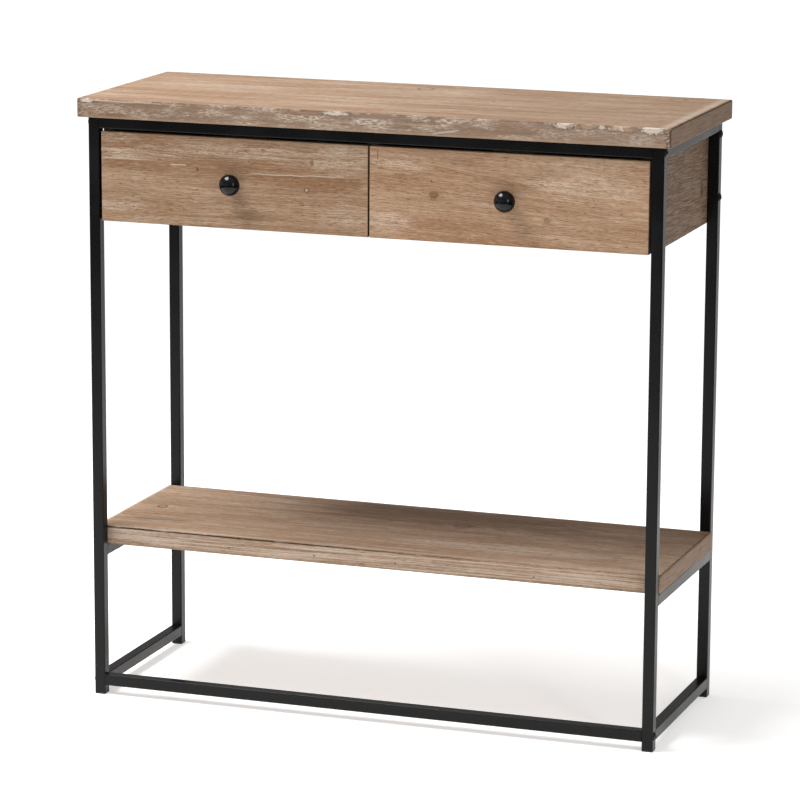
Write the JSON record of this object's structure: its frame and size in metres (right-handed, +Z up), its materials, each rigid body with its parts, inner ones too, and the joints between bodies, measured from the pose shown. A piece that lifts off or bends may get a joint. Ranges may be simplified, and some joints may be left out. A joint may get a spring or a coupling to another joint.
{
  "type": "console table",
  "caption": "Narrow console table: black square-tube steel frame, weathered timber top, side-by-side drawers with round knobs, and a low timber shelf.",
  "frame": {"origin": "on the floor, under the middle of the overall box, which runs from the knobs to the back edge of the top", "axes": "+Z up, +X to the right seen from the front, -Y towards the front where the drawers open"},
  "size_m": [0.8, 0.314, 0.806],
  "materials": {
    "steel_black": "semi-gloss black powder coat on welded square tube",
    "bolt_black": "black coated button-head bolts",
    "knob_black": "gloss black enamel",
    "steel_zinc": "zinc-plated inserts, plugs and screws",
    "plastic_black": "matt black moulded caps",
    "wood_weathered": "weathered grey-brown timber with a pale wash in the grain, knots and worn arrises",
    "wood_pale": "plain pale softwood and plywood, clear sealed"
  },
  "bodies": {
    "table": {"leg_front_left": "steel_black", "leg_front_right": "steel_black", "leg_back_left": "steel_black", "leg_back_right": "steel_black", "foot_cap_front_left": "plastic_black", "foot_cap_front_right": "plastic_black", "foot_cap_back_left": "plastic_black", "foot_cap_back_right": "plastic_black", "top_rail_left": "steel_black", "top_rail_right": "steel_black", "top_rail_front": "steel_black", "shelf_rail_left": "steel_black", "shelf_rail_right": "steel_black", "bottom_rail_left": "steel_black", "bottom_rail_right": "steel_black", "bottom_rail_front": "steel_black", "rail_end_plugs": "steel_zinc", "rail_bolts": "bolt_black", "case_bolts": "bolt_black", "shelf_bolts": "bolt_black", "top_screws": "steel_zinc", "case_inserts": "steel_zinc", "shelf_inserts": "steel_zinc", "tabletop": "wood_weathered", "shelf": "wood_weathered", "case_side_left": "wood_weathered", "case_side_right": "wood_weathered", "case_divider": "wood_weathered", "case_back": "wood_weathered", "case_floor": "wood_weathered", "case_stretcher_left": "wood_weathered", "case_stretcher_right": "wood_weathered", "stop_block_left": "wood_pale", "stop_block_right": "wood_pale", "case_dowels": "wood_pale"},
    "drawer_left": {"drawer_left_front": "wood_weathered", "drawer_left_side_outer": "wood_pale", "drawer_left_side_inner": "wood_pale", "drawer_left_back": "wood_pale", "drawer_left_bottom": "wood_pale", "drawer_left_dowels": "wood_pale", "drawer_left_knob": "knob_black", "drawer_left_knob_screw": "steel_zinc"},
    "drawer_right": {"drawer_right_front": "wood_weathered", "drawer_right_side_outer": "wood_pale", "drawer_right_side_inner": "wood_pale", "drawer_right_back": "wood_pale", "drawer_right_bottom": "wood_pale", "drawer_right_dowels": "wood_pale", "drawer_right_knob": "knob_black", "drawer_right_knob_screw": "steel_zinc"}
  },
  "joints": [
    {"name": "drawer_left_slide", "type": "slide", "parent": "table", "child": "drawer_left", "axis": [0, -1, 0], "range_m": [0, 0.18]},
    {"name": "drawer_right_slide", "type": "slide", "parent": "table", "child": "drawer_right", "axis": [0, -1, 0], "range_m": [0, 0.18]}
  ]
}
